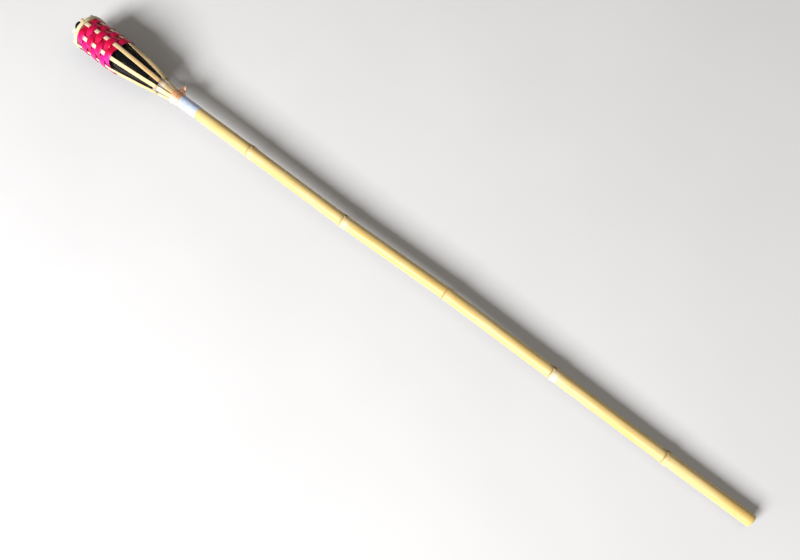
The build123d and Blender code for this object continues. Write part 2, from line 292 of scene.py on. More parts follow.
def aimed(place, forward, up):
    """Matrix of an object at a place that looks along -Z of its own axes."""
    back = -Vector(forward).normalized()
    right = Vector(up).cross(back).normalized()
    rows = Matrix((right, back.cross(right), back)).transposed().to_4x4()
    return Matrix.Translation(place) @ rows


def add_camera():
    data = bpy.data.cameras.new("camera")
    data.lens = LENS
    data.sensor_width = SENSOR
    bpy.context.scene.camera = placed("camera", data, aimed(CAMERA_PLACE, CAMERA_FORWARD, CAMERA_UP))


def add_light(name, direction, distance, size, power, colour):
    """A square soft light that looks at the middle of the torch."""
    middle = Vector((0, 0, TIP_Z * MM / 2))
    data = bpy.data.lights.new(name, "AREA")
    data.shape = "SQUARE"
    data.size = size
    data.energy = power
    data.color = colour
    direction = Vector(direction).normalized()
    placed(name, data, aimed(middle + direction * distance, -direction, UP))


def set_world():
    """Dim even light from all round, before a pale backdrop."""
    world = bpy.data.worlds.new("studio")
    world.use_nodes = True
    tree = world.node_tree
    room = tree.nodes["Background"]
    backdrop = tree.nodes.new("ShaderNodeBackground")
    room.inputs["Color"].default_value = ROOM_COLOUR
    room.inputs["Strength"].default_value = ROOM_LIGHT
    backdrop.inputs["Color"].default_value = BACKDROP_COLOUR
    choose = tree.nodes.new("ShaderNodeMixShader")
    seen = tree.nodes.new("ShaderNodeLightPath").outputs["Is Camera Ray"]
    for socket, value in zip(choose.inputs, (seen, room.outputs[0], backdrop.outputs[0])):
        tree.links.new(value, socket)
    tree.links.new(choose.outputs[0], tree.nodes["World Output"].inputs["Surface"])
    scene = bpy.context.scene
    scene.world = world
    scene.view_settings.view_transform = "Standard"
    scene.view_settings.gamma = CONTRAST


# ---- materials ----
class Shade:
    """A Principled material being wired. Each method adds a node and returns its useful output."""

    def __init__(self, name, **inputs):
        self.material = bpy.data.materials.new(name)
        self.material.use_nodes = True
        self.tree = self.material.node_tree
        self.tree.nodes.clear()
        self.output = self.node("OutputMaterial")
        self.shader = self.node("BsdfPrincipled", **inputs)
        self.put(self.output.inputs["Surface"], self.shader.outputs["BSDF"])

    def put(self, socket, value):
        if isinstance(value, bpy.types.NodeSocket):
            self.tree.links.new(value, socket)
        else:
            socket.default_value = value

    def node(self, kind, **inputs):
        """A new node. Its inputs are named with _ for a space."""
        node = self.tree.nodes.new("ShaderNode" + kind)
        for name, value in inputs.items():
            self.put(node.inputs[name.replace("_", " ")], value)
        return node

    def attribute(self, name):
        node = self.node("Attribute")
        node.attribute_name = name
        return node.outputs["Vector"]

    def noise(self, vector, scale, offset=(0, 0, 0), detail=3.0, roughness=0.55, distortion=0.0):
        place = self.node("Mapping", Vector=vector, Scale=scale, Location=offset).outputs["Vector"]
        settings = {"Scale": 1.0, "Detail": detail, "Roughness": roughness, "Distortion": distortion}
        return self.node("TexNoise", Vector=place, **settings).outputs["Fac"]

    def grain(self, scale, offset=(0, 0, 0), **settings):
        """Noise in the fibre coordinates, with a scale for each of them."""
        return self.noise(self.attribute("fibre"), scale, offset, **settings)

    def ramp(self, value, stops):
        """Colour ramp over (position, colour) stops."""
        node = self.node("ValToRGB", Fac=value)
        elements = node.color_ramp.elements
        while len(elements) < len(stops):
            elements.new(0.5)
        for element, (position, colour) in zip(elements, stops):
            element.position = position
            element.color = (*colour, 1)
        return node.outputs["Color"]

    def span(self, value, from_low, from_high, to_low=0.0, to_high=1.0):
        limits = {"From_Min": from_low, "From_Max": from_high, "To_Min": to_low, "To_Max": to_high}
        return self.node("MapRange", Value=value, **limits).outputs["Result"]

    def mix(self, factor, first, second):
        node = self.node("Mix")
        node.data_type = "RGBA"
        for socket, value in (("Factor", factor), ("A", first), ("B", second)):
            self.put(node.inputs[socket], (*value, 1) if isinstance(value, tuple) else value)
        return node.outputs["Result"]

    def marked(self, mark, colour, over):
        """Another colour where the mesh's marks ask for it: X scar, Y pale patch or painted light,
        Z bud, stain or painted shade.
        """
        marks = self.node("SeparateXYZ", Vector=self.attribute("marks"))
        return self.mix(marks.outputs[mark], colour, over)

    def bump(self, height, distance, strength, below=None):
        node = self.node("Bump", Height=height, Distance=distance, Strength=strength)
        if below is not None:
            self.put(node.inputs["Normal"], below)
        return node.outputs["Normal"]

    def done(self, colour, roughness=None, normal=None):
        for socket, value in (("Base Color", colour), ("Roughness", roughness), ("Normal", normal)):
            if value is not None:
                self.put(self.shader.inputs[socket], value)
        return self.material


def bamboo_skin(name, pale, gold, brown, gloss=0.34):
    """Waxy outer skin of a dried culm: long fine streaks, broad uneven ripening, dark scars at the joints."""
    shade = Shade(name, Coat_Weight=0.45, Coat_Roughness=0.42, Specular_IOR_Level=0.25)
    broad = shade.grain((0.05, 0.05, 0.008))
    streaks = shade.grain((0.9, 0.9, 0.012), detail=6.0, roughness=0.65)
    hairlines = shade.grain((3.5, 3.5, 0.03))
    flecks = shade.grain((1.6, 1.6, 0.12), (3, 7, 1), detail=2.0)
    bleached = tuple(min(1, 1.06 * c) for c in pale)
    colour = shade.ramp(streaks, [(0.30, gold), (0.52, pale), (0.78, bleached)])
    colour = shade.mix(shade.span(broad, 0.42, 0.66, 0, 0.65), colour, gold)
    colour = shade.mix(shade.span(hairlines, 0.52, 0.70, 0, 0.35), colour, brown)
    colour = shade.mix(shade.span(flecks, 0.66, 0.74, 0, 0.55), colour, brown)
    # Y is a pale patch; on the culm's joints and the tie's turns it is painted strongest on the lit side, as
    # painted light
    colour = shade.marked("Y", colour, (0.93, 0.86, 0.72))
    colour = shade.marked("X", colour, (0.16, 0.075, 0.025))
    colour = shade.marked("Z", colour, (0.12, 0.045, 0.018))
    roughness = shade.span(streaks, 0.3, 0.7, gloss - 0.05, gloss + 0.14)
    fine = shade.bump(hairlines, 0.00012, 0.5)
    normal = shade.bump(streaks, 0.0003, 0.35, fine)
    return shade.done(colour, roughness, normal)


def split_bamboo(name, pale, brown):
    """Inner wood of a culm, split along the grain: pith coloured, with open vessels as dark short lines."""
    shade = Shade(name)
    grain = shade.grain((2.2, 2.2, 0.018), detail=6.0, roughness=0.7)
    vessels = shade.grain((5.0, 5.0, 0.10), (5, 1, 9), detail=2.0)
    shaded = tuple(0.7 * c for c in pale)
    colour = shade.ramp(grain, [(0.3, shaded), (0.55, pale), (0.8, (0.95, 0.86, 0.66))])
    colour = shade.mix(shade.span(vessels, 0.55, 0.68, 0, 0.6), colour, brown)
    colour = shade.marked("X", colour, (0.22, 0.11, 0.05))
    normal = shade.bump(vessels, 0.0003, 0.5, shade.bump(grain, 0.0006, 0.6))
    return shade.done(colour, shade.span(grain, 0.3, 0.7, 0.55, 0.8), normal)


def dyed_strip():
    """Thin strip of split bamboo, dyed through and lacquered: the dye takes unevenly along the grain, and the
    strip is painted fuchsia on its lit side as painted light.
    """
    shade = Shade("dyed_strip", Coat_Weight=0.35, Coat_Roughness=0.2)
    grain = shade.grain((1.4, 1.4, 0.02), detail=6.0, roughness=0.7)
    threads = shade.grain((5.0, 5.0, 0.05), (2, 4, 8), detail=2.0)
    tides = shade.grain((0.10, 0.10, 0.045), (9, 2, 5))
    crimson, fuchsia = (
        shade.ramp(grain, [(0.28, dark), (0.5, full), (0.75, light)])
        for dark, full, light in (
            ((0.36, 0.0, 0.018), (0.72, 0.0, 0.050), (0.88, 0.004, 0.09)),
            ((0.52, 0.001, 0.14), (0.84, 0.004, 0.34), (0.94, 0.03, 0.50)),
        )
    )
    colour = shade.mix(shade.span(tides, 0.45, 0.72, 0, 0.45), crimson, fuchsia)
    # painted light: fuchsia where the mesh marks the strip's lit side
    colour = shade.marked("Y", colour, fuchsia)
    colour = shade.mix(shade.span(threads, 0.60, 0.72, 0, 0.45), colour, (0.92, 0.16, 0.32))
    colour = shade.marked("X", colour, (0.30, 0.0, 0.03))
    roughness = shade.span(grain, 0.3, 0.7, 0.26, 0.42)
    normal = shade.bump(threads, 0.00012, 0.5, shade.bump(grain, 0.0004, 0.45))
    return shade.done(colour, roughness, normal)


def label_film():
    """Blank wrap-around label: faintly blue white film, a little creased, over the culm's unevenness."""
    shade = Shade("label_film", Coat_Weight=0.3, Coat_Roughness=0.3)
    tint = shade.grain((0.06, 0.06, 0.04))
    creases = shade.grain((0.25, 0.25, 0.5), detail=5.0, distortion=1.2)
    dust = shade.grain((4.0, 4.0, 4.0))
    blue, mean, pale = (0.50, 0.60, 0.84), (0.68, 0.75, 0.88), (0.80, 0.83, 0.88)
    colour = shade.ramp(tint, [(0.3, blue), (0.6, mean), (0.8, pale)])
    colour = shade.mix(shade.span(dust, 0.62, 0.8, 0, 0.25), colour, (0.55, 0.53, 0.50))
    normal = shade.bump(creases, 0.0005, 0.5)
    return shade.done(colour, shade.span(creases, 0.3, 0.7, 0.28, 0.42), normal)


def painted(name, colour_low, colour_high, roughness, chips):
    """Stove-painted tinplate with a faint orange peel, smudges, and scuffs worn to a paler grey."""
    shade = Shade(name, Coat_Weight=0.25, Coat_Roughness=0.08)
    peel = shade.grain((1.3, 1.3, 1.3), detail=2.0)
    smudges = shade.grain((0.07, 0.07, 0.07), detail=5.0, roughness=0.65)
    scuffs = shade.grain((0.8, 0.8, 0.25), (4, 4, 4), detail=6.0, roughness=0.75)
    colour = shade.ramp(smudges, [(0.35, colour_low), (0.7, colour_high)])
    colour = shade.mix(shade.span(scuffs, chips, chips + 0.06, 0, 0.7), colour, (0.16, 0.155, 0.15))
    rough = shade.span(smudges, 0.3, 0.7, roughness, roughness + 0.16)
    return shade.done(colour, rough, shade.bump(peel, 0.00008, 0.4))


def metal(name, colour, dark, roughness):
    """Drawn metal: lines round the turned shape, and tarnish."""
    shade = Shade(name, Metallic=1.0)
    lines = shade.grain((0.15, 0.15, 9.0), detail=4.0)
    tarnish = shade.grain((0.35, 0.35, 0.35), detail=6.0, roughness=0.7)
    tone = shade.ramp(tarnish, [(0.35, dark), (0.6, colour)])
    rough = shade.span(tarnish, 0.3, 0.7, roughness + 0.2, roughness)
    return shade.done(tone, rough, shade.bump(lines, 0.00006, 0.4))


def gasket_rubber():
    shade = Shade("gasket_rubber")
    bloom = shade.grain((0.6, 0.6, 0.6), detail=5.0)
    grit = shade.grain((6.0, 6.0, 6.0), detail=2.0)
    colour = shade.ramp(bloom, [(0.35, (0.018, 0.018, 0.018)), (0.7, (0.07, 0.068, 0.065))])
    return shade.done(colour, shade.span(bloom, 0.3, 0.7, 0.6, 0.8), shade.bump(grit, 0.0001, 0.5))


def wick_braid():
    """Glass-fibre braid: fine filaments, grey with soot and amber with fuel towards its top."""
    shade = Shade("wick_braid", Roughness=0.8, Sheen_Weight=0.2)
    filaments = shade.grain((1.2, 6.0, 1.2), detail=4.0)
    colour = shade.ramp(filaments, [(0.3, (0.55, 0.52, 0.46)), (0.6, (0.90, 0.88, 0.82))])
    colour = shade.marked("Y", colour, (0.62, 0.46, 0.24))
    colour = shade.marked("X", colour, (0.035, 0.03, 0.028))
    return shade.done(colour, normal=shade.bump(filaments, 0.0002, 0.5))


def floor_material():
    """Pale sheet, seen only from its front, so that it never hides the torch."""
    shade = Shade("pale_floor", Roughness=0.6)
    place = shade.node("TexCoord").outputs["Object"]
    mottle = shade.noise(place, (3, 3, 3))
    shade.done(shade.ramp(mottle, [(0.3, (0.90, 0.90, 0.90)), (0.7, (0.93, 0.93, 0.93))]))
    choose = shade.node("MixShader", Fac=shade.node("NewGeometry").outputs["Backfacing"])
    shade.put(choose.inputs[1], shade.shader.outputs["BSDF"])
    shade.put(choose.inputs[2], shade.node("BsdfTransparent").outputs["BSDF"])
    shade.put(shade.output.inputs["Surface"], choose.outputs["Shader"])
    return shade.material


# ---- culm ----
BUD_AZIMUTHS = [-22.0, -40.0, 150.0, -35.0, -28.0]   # side of each joint that carries the bud, mostly the shade side: the dark stain round it is partly painted shade
JOINT_BLOOM = [0.15, 0.9, 0.2, 0.5, 0.15]            # how much pale wax is left under each joint
LIT_BLOOM_AZIMUTH = 218.0                                # the lit side, on which it is painted strongest: partly painted light
JOINT_SCAR = [0.75, 0.6, 0.45, 0.4, 0.35]            # how dark its leaf scar is
# (height, place above the scar, half width) of the bumps and dark lines of a joint
JOINT_BUMPS = [
    (1.15, -3.6, 3.6), (0.30, -9.0, 8.0), (0.45, 1.0, 0.55), (0.25, 4.0, 4.0), (-0.75, 0.0, 0.6),
]
JOINT_LINES = [(1.0, 0.0, 0.7), (0.5, 1.7, 0.6), (0.3, -2.0, 1.6)]
JOINT_REACH = 60.0           # no joint shapes the culm further away than this
SEPTUM_PROFILE = [(0.0, 0.0), (0.5, 0.6), (0.85, 2.5), (1.0, 7.0)]    # (share of the bore, distance)
LOWER_BORE_Z = (110.0, 60.0, 25.0, 8.0, 1.0)
UPPER_BORE_Z = (1200.0, 1120.0)
CULM_AZIMUTHS = [360.0 * i / 96 for i in range(96)]
RING_STEPS = [(6, 0.45), (14, 1.2), (24, 3.0)]    # (distance from a joint, step between rings)
RING_STEP_ELSEWHERE = 9.0
# (sideways shift, height) of its centre line
CULM_LINE = [(0.0, 0.0), *zip(JOINT_SHIFT_X, JOINT_Z), (0.0, STRAIGHT_TOP_Z), (0.0, SPLIT_Z)]
culm_skin = bamboo_skin("bamboo_culm", (0.88, 0.71, 0.36), (0.77, 0.52, 0.14), (0.40, 0.21, 0.05))
split_wood = split_bamboo("split_bamboo", (0.86, 0.72, 0.46), (0.40, 0.24, 0.11))


def culm_radius(z):
    return CULM_BUTT_R + (CULM_TOP_R - CULM_BUTT_R) * min(z / STRAIGHT_TOP_Z, 1.0)


def joint_relief(z, azimuth):
    """(rise, scar, pale, bud) of the culm's surface near its joints. Each joint has a swollen ridge, then the
    scar of the leaf sheath with a thin lip, which rises over the bud."""
    rise, scar, pale, stain = 0.0, 0.0, 0.0, 0.0
    for index, joint_z in enumerate(JOINT_Z):
        if abs(z - joint_z) > JOINT_REACH:
            continue
        bud_turn = turn_between(azimuth, BUD_AZIMUTHS[index])
        wander = 0.5 * rough_round(azimuth, 1.5, joint_z)
        d = z - joint_z - 2.2 * hill(bud_turn, 26) - wander
        bud = hill(bud_turn, 13) * hill(d + 3.0, 3.6)
        rise += hills(d, JOINT_BUMPS) + 0.9 * bud
        # partly painted shade: the scar is darker towards the bud, which mostly sits on the shade side
        dark = JOINT_SCAR[index] * (0.75 + 0.25 * cos(radians(bud_turn)))
        scar = max(scar, dark * highest_hill(d, JOINT_LINES))
        # partly painted light: the pale wax is strongest on the lit side
        bloom = smooth_step(0.4 + 0.6 * cos(radians(azimuth - LIT_BLOOM_AZIMUTH)))
        pale = max(pale, 0.9 * JOINT_BLOOM[index] * bloom * hill(d + 8, 7))
        stain = max(stain, bud, 0.30 * hill(d - 3.0, 5.0) * hill(bud_turn, 40))
    return rise, scar, pale, stain


def culm_heights():
    """Heights of the culm's rings, which are close together near its joints."""
    heights = [0.8, 3.0]
    z = 3.0
    while z < SPLIT_Z - 0.1:
        away = min(abs(z - joint_z) for joint_z in JOINT_Z)
        z += next((step for near, step in RING_STEPS if away < near), RING_STEP_ELSEWHERE)
        heights.append(min(z, SPLIT_Z))
    return heights


def build_culm():
    piece = Piece("culm")
    rows = []

    def ring(radius_of, z, marks_of=lambda azimuth: (0, 0, 0)):
        row = []
        for azimuth in CULM_AZIMUTHS:
            point = polar(radius_of(azimuth), azimuth, z)
            fibre = point.copy()
            point.x += value_at(z, CULM_LINE)
            row.append(piece.vertex(point, fibre, marks_of(azimuth)))
        rows.append(row)

    def bore(z, share=1.0):
        radius = (culm_radius(z) - CULM_WALL) * share
        ring(lambda azimuth: radius + share * 0.2 * rough_round(azimuth, 1.0, z / 30), z)

    for share, drop in SEPTUM_PROFILE:
        bore(JOINT_Z[0] - SEPTUM_HALF - drop, share)
    for z in LOWER_BORE_Z:
        bore(z)
    ring(lambda azimuth: CULM_BUTT_R - CULM_WALL + 0.5, 0.1)
    ring(lambda azimuth: CULM_BUTT_R - 0.9, 0.0)
    skin_start = len(rows)
    for z in culm_heights():
        relief = {azimuth: joint_relief(z, azimuth) for azimuth in CULM_AZIMUTHS}
        fade = min(1.0, (SPLIT_Z - z) / 60.0)
        worn = 0.25 * hill(z, 1.6)

        def radius_of(azimuth):
            uneven = 0.12 * rough_round(azimuth, 1.2, z / 45) + 0.10 * cos(2 * radians(azimuth) + z / 400)
            return culm_radius(z) + relief[azimuth][0] + fade * uneven - worn

        ring(radius_of, z, lambda azimuth: relief[azimuth][1:])
    ring(lambda azimuth: CULM_TOP_R - CULM_WALL, SPLIT_Z)
    skin_end = len(rows) - 1
    for z in UPPER_BORE_Z:
        bore(z)
    for share, rise in reversed(SEPTUM_PROFILE):
        bore(JOINT_Z[-1] + SEPTUM_HALF + rise, share)
    piece.surface(rows[: skin_start + 1], material=1)
    piece.surface(rows[skin_start:skin_end], material=0)
    piece.surface(rows[skin_end - 1:], material=1)
    piece.finish("torch", ["pole"], [culm_skin, split_wood])


# ---- slats ----
SLAT_JOINT_Z = 1291.0        # the culm's next joint runs through the slats
SLAT_TWISTS = [6.0, -5.0, 8.0, -4.0, 7.0, -6.0, -8.0, -34.0]    # degrees by which each turns on itself
TWIST_LOW_Z = 1262.0
TWIST_LENGTH = 138.0
TWIST_BOW = 4.5              # the more a slat is turned, the more it bows outwards
SLAT_SWAYS = [2.0, 2.2, -2.2, -2.2, 0.0, 0.0, 0.0, 0.0]         # how far each strays sideways above the tie
SWAY_LOW_Z = 1252.0
SWAY_LENGTH = 88.0
SLAT_BUMPS = [(0.55, -2.6, 2.6), (-0.35, 0.0, 0.7), (0.25, 1.1, 0.6)]
SLAT_LINES = [(0.75, 0.0, 0.8), (0.4, 1.9, 0.7), (0.3, -3.5, 2.0)]
SLAT_CORNER = 0.35
FACE_HALF_STEPS = 6          # half the steps across a slat's outer face
SLAT_STEP = 2.2
slat_skin = bamboo_skin("bamboo_slat", (0.91, 0.72, 0.42), (0.80, 0.53, 0.24), (0.48, 0.22, 0.08), 0.36)
slat_path = filleted_path(
    [(CULM_TOP_R, SPLIT_Z), (CULM_TOP_R, CONE_START_Z), (SHOULDER_R, SHOULDER_Z), (TIP_R, TIP_Z)],
    (ROOT_BEND_R, SHOULDER_BEND_R),
    SLAT_STEP,
)


def closer_stations(stations, low_z, high_z, parts):
    """The same stations, with every stretch between two heights divided into parts."""
    result = [stations[0]]
    for before, after in zip(stations, stations[1:]):
        count = parts if after[1] > low_z and before[1] < high_z else 1
        for i in range(1, count + 1):
            result.append(tuple(b + (a - b) * i / count for b, a in zip(before, after)))
    return result


slat_stations = closer_stations(slat_path, SLAT_JOINT_Z - 10, SLAT_JOINT_Z + 8, 5)


def slat_section(shrink):
    """Outline of a slat across its grain, as (outwards, sideways) from the middle of its outer face."""
    half = SLAT_PITCH / 2 - SAW_KERF_ANGLE
    arc = [radians(half) * (i / FACE_HALF_STEPS) for i in range(-FACE_HALF_STEPS, FACE_HALF_STEPS + 1)]
    outer = [(CULM_TOP_R * cos(a) - CULM_TOP_R, CULM_TOP_R * sin(a) * shrink) for a in arc]
    inner_y = (CULM_TOP_R - SLAT_THICKNESS) * tan(radians(half)) * shrink
    edge_x, edge_y = outer[-1]
    outer[0] = (outer[0][0], outer[0][1] + SLAT_CORNER * 0.6)
    outer[-1] = (outer[-1][0], outer[-1][1] - SLAT_CORNER * 0.6)
    right = [(edge_x - SLAT_CORNER, edge_y - 0.1), (-SLAT_THICKNESS + SLAT_CORNER, inner_y + 0.1)]
    bottom = [(-SLAT_THICKNESS, inner_y * share) for share in (0.9, 0.45, 0.0, -0.45, -0.9)]
    left = [(x, -y) for x, y in reversed(right)]
    return outer + right + bottom + left


def build_slat(index):
    azimuth = SLAT_PITCH * (index + 0.5)
    radial = polar(1, azimuth)
    sideways = UP.cross(radial)
    seed = 11.0 * index
    end_trim = random.uniform(0.0, 1.6)
    end_slant = random.uniform(-0.12, 0.12)
    joint_shift = random.uniform(-1.5, 1.5)
    piece = Piece(f"slat_{index + 1}_split")
    rows = []
    total = slat_path[-1][3]
    for radius, z, lean, length in slat_stations:
        outward = radial * cos(lean) - UP * sin(lean)
        along = radial * sin(lean) + UP * cos(lean)
        free = smooth_step((length - 22) / 60)
        drift = free * 0.45 * rough(length / 55, seed, 0.3)
        drift += SLAT_SWAYS[index] * arch((z - SWAY_LOW_Z) / SWAY_LENGTH)
        shrink = 1.0 - free * (0.03 + 0.03 * rough(length / 40, seed, 5.1))
        loose = arch((z - TWIST_LOW_Z) / TWIST_LENGTH)
        turn = radians(SLAT_TWISTS[index])
        twist = Matrix.Rotation(turn * loose, 3, along)
        bow = TWIST_BOW * sin(abs(turn)) * loose
        d = z - SLAT_JOINT_Z - joint_shift
        ridge = hills(d, SLAT_BUMPS)
        lines = highest_hill(d, SLAT_LINES)
        diaphragm = 0.7 * hill(d, 1.6)
        from_tip = total - length
        row = []
        for spot, (x, y) in enumerate(slat_section(shrink)):
            skin = spot <= 2 * FACE_HALF_STEPS
            rise = ridge if skin else 0.0
            if x < -SLAT_THICKNESS + 0.01:
                rise = -diaphragm * (1 + 0.6 * rough(y, seed, z / 3))
                rise += 0.12 * rough(y / 1.5, seed, length / 12)
            if not skin:
                y += 0.10 * rough(length / 4, seed + x, 2.0) * free
            middle = radial * radius + UP * z + outward * (bow - SLAT_THICKNESS / 2) + sideways * drift
            point = middle + twist @ (outward * (x + rise + SLAT_THICKNESS / 2) + sideways * y)
            if from_tip < SLAT_STEP * 0.9:
                point -= along * (end_trim + (y + 5) * end_slant * 0.5)
            scar = lines if skin else 0.5 * hill(d, 1.5)
            pale = 0.55 * hill(d + 8, 5) + 0.5 * smooth_step((length - 130) / 60)
            stain = 0.45 * hill(d - 1.0, 5.0) * smooth_step(rough(index * 3.1, y / 4, 0) + 0.4)
            row.append(piece.vertex(point, (y + seed, x, length), (scar, min(pale, 0.8), stain)))
        rows.append(row)
    piece.sweep(rows, lambda i: 0 if i < 2 * FACE_HALF_STEPS else 1, 1)
    piece.finish("torch", [f"slat_{index + 1}"], [slat_skin, split_wood])


# ---- woven strips ----
WEFT_STEPS = 200
WEFT_OVERLAP = 24.0          # degrees by which a strip's ends overlap, behind a slat
LIT_SIDE_AZIMUTH = 205.0        # lit side, on which the strips are painted fuchsia and the tie's turns paler: painted light
# how strongly each strip is painted fuchsia on its lit side: painted light
ROW_LIT_TINT = [0.95, 0.85, 0.45, 0.6, 0.25, 0.45, 0.7]
WEFT_TUCK = 1.05             # how far the upper end lies outside the lower one
WEFT_CUP = 0.42
WEFT_SPREAD = 1.3            # how far each edge spreads where the strip passes a slat
WEFT_TILT = 2.2              # the lowest strip sits a little askew, the highest one follows the rim
WEFT_TILT_AZIMUTH = 215.0
weft_material = dyed_strip()


def strip_section(width, thickness, cup, spots=9):
    """Outline of a flat strip as (outwards, across), cupped by cup towards its edges, with rounded edges."""
    shares = [-1 + 2 * i / (spots - 1) for i in range(spots)]
    flat = 1 - 0.7 * thickness / width
    face = [(thickness / 2 - cup * s * s, s * flat * width / 2) for s in shares]
    back = [(-thickness / 2 - cup * s * s, s * flat * width / 2) for s in reversed(shares)]
    return face + [(-cup, width / 2)] + back + [(-cup, -width / 2)]


def build_weft(row_index):
    low, high = node_box(f"weft_{row_index + 1}")
    middle_z = (low.z + high.z) / 2
    width = high.z - low.z + 0.1
    side = 1 if row_index % 2 else -1
    joint = SLAT_PITCH * ((3 * row_index) % SLAT_COUNT + 0.5)
    seed = 31.0 + 5 * row_index
    lean = atan((value_at(high.z, slat_path) - value_at(low.z, slat_path)) / (high.z - low.z))
    piece = Piece(f"weft_{row_index + 1}_strip")
    rows = []
    for step in range(WEFT_STEPS + 1):
        turned_by = (360.0 + WEFT_OVERLAP) * step / WEFT_STEPS - WEFT_OVERLAP / 2
        azimuth = joint + turned_by
        phase = cos(radians(azimuth - SLAT_PITCH / 2) * SLAT_COUNT / 2)
        wave = side * sin(pi / 2 * phase)
        tuck = WEFT_TUCK * smooth_step((turned_by - 360.0 + WEFT_OVERLAP / 2 + 8) / 8)
        uneven = 0.07 * rough(azimuth / 30, seed, 1.0)
        radius = value_at(middle_z, slat_path) - SLAT_THICKNESS / 2 + WEFT_SWING * wave - tuck + uneven
        radial = polar(1, azimuth)
        tilt = WEFT_TILT * cos(radians(azimuth - WEFT_TILT_AZIMUTH)) * (1 - row_index / (WEFT_COUNT - 1))
        drift = tilt + 0.06 * rough(azimuth / 50, seed, 7.0)
        spread = WEFT_SPREAD * smooth_step((abs(wave) - 0.15) / 0.7)
        end = min(step, WEFT_STEPS - step)
        thin = WEFT_THICKNESS * (1.0 if end > 6 else 0.45 + 0.09 * end)
        arc = radians(azimuth) * SHOULDER_R
        tall = width * (1 - 0.006 * (1 + rough(azimuth / 20, seed, 3))) + 2 * spread
        # painted light: the strip is tinted fuchsia where it faces the lit side
        lit_tint = ROW_LIT_TINT[row_index] * smooth_step((cos(radians(azimuth - LIT_SIDE_AZIMUTH)) - 0.5) / 0.4)
        row = []
        for x, y in strip_section(tall, thin, WEFT_CUP * wave):
            z = min(middle_z + y + drift, RIM_LOW_Z - 0.4)
            point = radial * (radius + x + y * tan(lean)) + UP * z
            edge = smooth_step((abs(y) / tall - 0.40) / 0.1)
            row.append(piece.vertex(point, (y + seed, x, arc), (0.55 * edge, lit_tint, 0)))
        rows.append(row)
    piece.sweep(rows)
    piece.finish("torch", [f"weft_{row_index + 1}"], [weft_material])


# ---- rim hoops and brads ----
HOOP_STEPS = 180
HOOP_THICKNESS = 1.3
HOOP_PLAY = 0.05
HOOP_LAP = 26.0              # degrees by which a hoop's ends lap
HOOP_THIN_END = 0.35         # share of the thickness left at its ends
rim_material = split_bamboo("rim_strip", (0.90, 0.79, 0.55), (0.48, 0.30, 0.14))
rim_skin = bamboo_skin("rim_strip_skin", (0.93, 0.81, 0.54), (0.84, 0.64, 0.32), (0.50, 0.30, 0.12), 0.36)


def build_hoop(node, name, start_azimuth, outwards):
    """A strip bent into a hoop, its thinned ends lapped one over the other on the free side."""
    low, high = node_box(node)
    outer_r = high.x
    inner_r = outer_r - HOOP_THICKNESS - HOOP_PLAY
    piece = Piece(name)
    rows = []

    def thickness_at(from_end):
        return HOOP_THICKNESS * min(1.0, HOOP_THIN_END + (1 - HOOP_THIN_END) * max(from_end, 0.0) / HOOP_LAP)

    for step in range(HOOP_STEPS + 1):
        turned_by = (360.0 + HOOP_LAP) * step / HOOP_STEPS
        azimuth = start_azimuth + turned_by
        over = smooth_step((turned_by - 360.0 + 14) / 14)
        thick = min(thickness_at(turned_by), thickness_at(360.0 + HOOP_LAP - turned_by))
        under = thickness_at(turned_by - 360.0) + HOOP_PLAY
        if outwards:
            middle = inner_r + thick / 2 + over * under
        else:
            middle = outer_r - HOOP_PLAY - thick / 2 - over * under
        wobble = 0.12 * rough(azimuth / 40, 17.0 + outer_r, 0)
        width = (high.z - low.z) * (1 - 0.03 * (1 + rough(azimuth / 35, outer_r, 4)))
        middle_z = (low.z + high.z) / 2 + wobble
        radial = polar(1, azimuth)
        row = []
        for x, y in strip_section(width, thick, 0.12 if outwards else -0.12, spots=5):
            point = radial * (middle + x) + UP * (middle_z + y)
            row.append(piece.vertex(point, (y, x, radians(azimuth) * outer_r)))
        rows.append(row)
    skin_side = range(0, 4) if outwards else range(6, 10)
    piece.sweep(rows, lambda i: 0 if i in skin_side else 1, 1)
    piece.finish("torch", [node], [rim_skin, rim_material])


def build_brads():
    """Round-headed brads through both hoops and the slat between them, in one piece like their CAD node."""
    low, high = node_box("rim_brads")
    band_r = node_box("rim_band_outer")[1].x
    shank = band_r - node_box("rim_band_inner")[1].x + 0.7
    steel = metal("brad_steel", (0.56, 0.55, 0.53), (0.24, 0.17, 0.12), 0.3)
    piece = Piece("rim_brad_heads")
    outline = [(0.0, 0.75), (0.5, 0.70), (1.0, 0.48), (1.4, 0.12), (1.4, -0.02), (0.6, -0.02)]
    outline += [(0.6, -shank), (0.0, -shank)]
    for index in range(SLAT_COUNT):
        azimuth = SLAT_PITCH * (index + 0.5)
        radial = polar(1, azimuth)
        sideways = UP.cross(radial)
        centre = radial * band_r + UP * (low.z + high.z) / 2
        rows = []
        for r, height in outline:
            spots = [(r * cos(pi * i / 8), r * sin(pi * i / 8)) for i in range(16)]
            middle = centre + radial * height
            rows.append([piece.vertex(middle + sideways * x + UP * y, (x, y, height)) for x, y in spots])
        piece.surface(rows)
    piece.finish("torch", ["rim_brads"], [steel])


# ---- binding strip ----
TIE_STEPS = 270
TIE_WINDING = 1125.0         # degrees, the second and third turns lying partly on the one before
TIE_WIDTH = 6.8
TIE_THICKNESS = 0.6
KNOT_STEPS = 24


